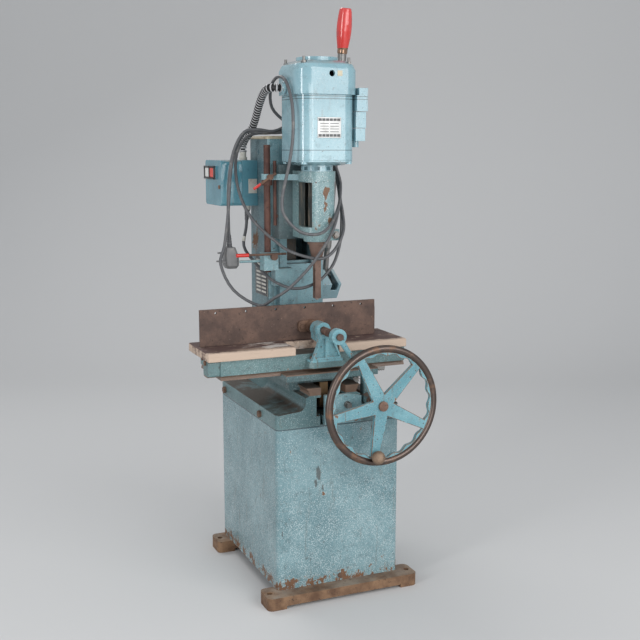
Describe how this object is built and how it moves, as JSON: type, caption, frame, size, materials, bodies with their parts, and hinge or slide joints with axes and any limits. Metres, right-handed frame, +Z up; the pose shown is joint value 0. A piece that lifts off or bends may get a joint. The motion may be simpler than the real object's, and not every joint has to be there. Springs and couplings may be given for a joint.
{
  "type": "hollow_chisel_mortiser",
  "caption": "Old floor standing hollow chisel mortiser: rack fed head on a column, cross sliding table with clamp and spoked handwheel, cabinet base.",
  "frame": {"origin": "on the floor, in the middle of the four floor bolt holes", "axes": "X to the operator's right along the table, Y away from the operator towards the column, Z up"},
  "size_m": [0.556, 0.6155, 1.4761],
  "materials": {
    "teal_paint": "speckled light blue hammer paint, worn",
    "dark_paint": "darker blue paint",
    "rusty_iron": "brown surface rust",
    "bare_steel": "machined, slightly rusted",
    "dark_steel": "tarnished",
    "laminations": "dark",
    "wood": "stained planks",
    "red_plastic": "glossy grip",
    "white_plastic": "button",
    "rubber_black": "ribbed hose",
    "rubber_grey": "lead and plug",
    "cream_paint": "cream, chipped",
    "pale_trim": "bare plates and glands",
    "bronze": "bearing bronze"
  },
  "bodies": {
    "stand": {"foot_bars": "rusty_iron", "cabinet": "teal_paint", "base_bolts": "rusty_iron", "top_casting": "teal_paint", "screw_bracket": "teal_paint", "column": "teal_paint", "column_cap": "cream_paint", "gear_cover": "teal_paint", "lever_housing": "teal_paint", "shaft_bush": "bronze", "stop_block": "teal_paint", "box_base": "dark_paint", "box_cover": "teal_paint", "trim": "pale_trim", "plug": "rubber_grey", "conduit": "rubber_black", "mains_lead": "rubber_grey"},
    "cross_screw": {"cross_screw": "bare_steel"},
    "saddle": {"saddle": "teal_paint", "saddle_gibs": "bare_steel", "cross_nut": "bronze"},
    "idler": {"idler": "bare_steel"},
    "table": {"table_casting": "teal_paint", "end_cap": "teal_paint", "table_rack": "bare_steel", "boards": "wood", "rear_fence": "rusty_iron", "clamp_bracket": "teal_paint", "table_bolts": "rusty_iron"},
    "jaw": {"clamp_plate": "rusty_iron", "clamp_swivel": "dark_steel"},
    "clamp_screw": {"clamp_screw": "rusty_iron", "clamp_crank": "teal_paint"},
    "handwheel": {"wheel_disc": "teal_paint", "wheel_rim": "dark_steel", "wheel_shaft": "dark_steel"},
    "wheel_knob": {"wheel_knob": "bronze"},
    "feed_lever": {"feed_shaft": "bare_steel", "feed_lever": "dark_steel", "lever_grip": "red_plastic"},
    "stop_latch": {"stop_latch": "rusty_iron"},
    "head": {"head_slide": "teal_paint", "slide_gib": "bare_steel", "feed_rack": "bare_steel", "head_casting": "teal_paint", "chisel_bush": "rusty_iron", "hollow_chisel": "rusty_iron", "motor_flange": "teal_paint", "motor_body": "teal_paint", "motor_cowl": "teal_paint", "stator": "laminations", "motor_boxes": "teal_paint", "stop_rods": "rusty_iron", "stop_arm": "teal_paint", "head_bolts": "rusty_iron"},
    "spindle": {"spindle": "dark_steel", "auger_bit": "bare_steel"},
    "collar_lever": {"collar_lever": "rusty_iron"},
    "button_white": {"button_white": "white_plastic"},
    "button_red": {"button_red": "red_plastic"}
  },
  "joints": [
    {"name": "head_slide", "type": "slide", "parent": "stand", "child": "head", "axis": [0, 0, 1], "range_m": [-0.06, 0.03], "deforming": ["conduit", "mains_lead"]},
    {"name": "feed_lever", "type": "hinge", "parent": "stand", "child": "feed_lever", "pos_m": [0, 0.193, 0.745], "axis": [1, 0, 0], "range_deg": [-36, 72]},
    {"name": "spindle", "type": "hinge", "parent": "head", "child": "spindle", "pos_m": [0, -0.053, 1], "axis": [0, 0, -1], "continuous": true},
    {"name": "saddle_slide", "type": "slide", "parent": "stand", "child": "saddle", "axis": [0, 1, 0], "range_m": [-0.03, 0.003]},
    {"name": "cross_screw", "type": "hinge", "parent": "stand", "child": "cross_screw", "pos_m": [0.016, -0.19, 0.493], "axis": [0, 1, 0], "range_deg": [-2200, 400]},
    {"name": "table_slide", "type": "slide", "parent": "saddle", "child": "table", "axis": [1, 0, 0], "range_m": [-0.06, 0.15]},
    {"name": "handwheel", "type": "hinge", "parent": "saddle", "child": "handwheel", "pos_m": [0.077, -0.2, 0.5], "axis": [0, 1, 0], "range_deg": [-680, 280]},
    {"name": "idler", "type": "hinge", "parent": "saddle", "child": "idler", "pos_m": [0.077, -0.095, 0.531], "axis": [0, 1, 0], "range_deg": [-200, 500]},
    {"name": "wheel_knob", "type": "hinge", "parent": "handwheel", "child": "wheel_knob", "pos_m": [0.05766, -0.297, 0.37749], "axis": [0, 1, 0], "continuous": true},
    {"name": "jaw_slide", "type": "slide", "parent": "table", "child": "jaw", "axis": [0, 1, 0], "range_m": [-0.003, 0.009]},
    {"name": "clamp_screw", "type": "hinge", "parent": "jaw", "child": "clamp_screw", "pos_m": [-0.031, -0.17, 0.675], "axis": [0, 1, 0], "range_deg": [-220, 650]},
    {"name": "stop_latch", "type": "hinge", "parent": "stand", "child": "stop_latch", "pos_m": [-0.088, 0.021, 0.841], "axis": [0, 1, 0], "range_deg": [-6, 14]},
    {"name": "collar_lever", "type": "hinge", "parent": "head", "child": "collar_lever", "pos_m": [-0.098, 0.022, 1.0445], "axis": [0, 1, 0], "range_deg": [-30, 0]},
    {"name": "button_white", "type": "slide", "parent": "stand", "child": "button_white", "axis": [1, 0, 0], "range_m": [0, 0.003], "stiffness_N_per_m": 300},
    {"name": "button_red", "type": "slide", "parent": "stand", "child": "button_red", "axis": [1, 0, 0], "range_m": [0, 0.003], "stiffness_N_per_m": 300}
  ],
  "couplings": [
    {"joint": "feed_lever", "follows": "head_slide", "rad_per_m": -20.833},
    {"joint": "cross_screw", "follows": "saddle_slide", "rad_per_m": 1256.6},
    {"joint": "handwheel", "follows": "table_slide", "rad_per_m": -76.923},
    {"joint": "idler", "follows": "table_slide", "rad_per_m": 55.556},
    {"joint": "clamp_screw", "follows": "jaw_slide", "rad_per_m": 1256.6}
  ]
}
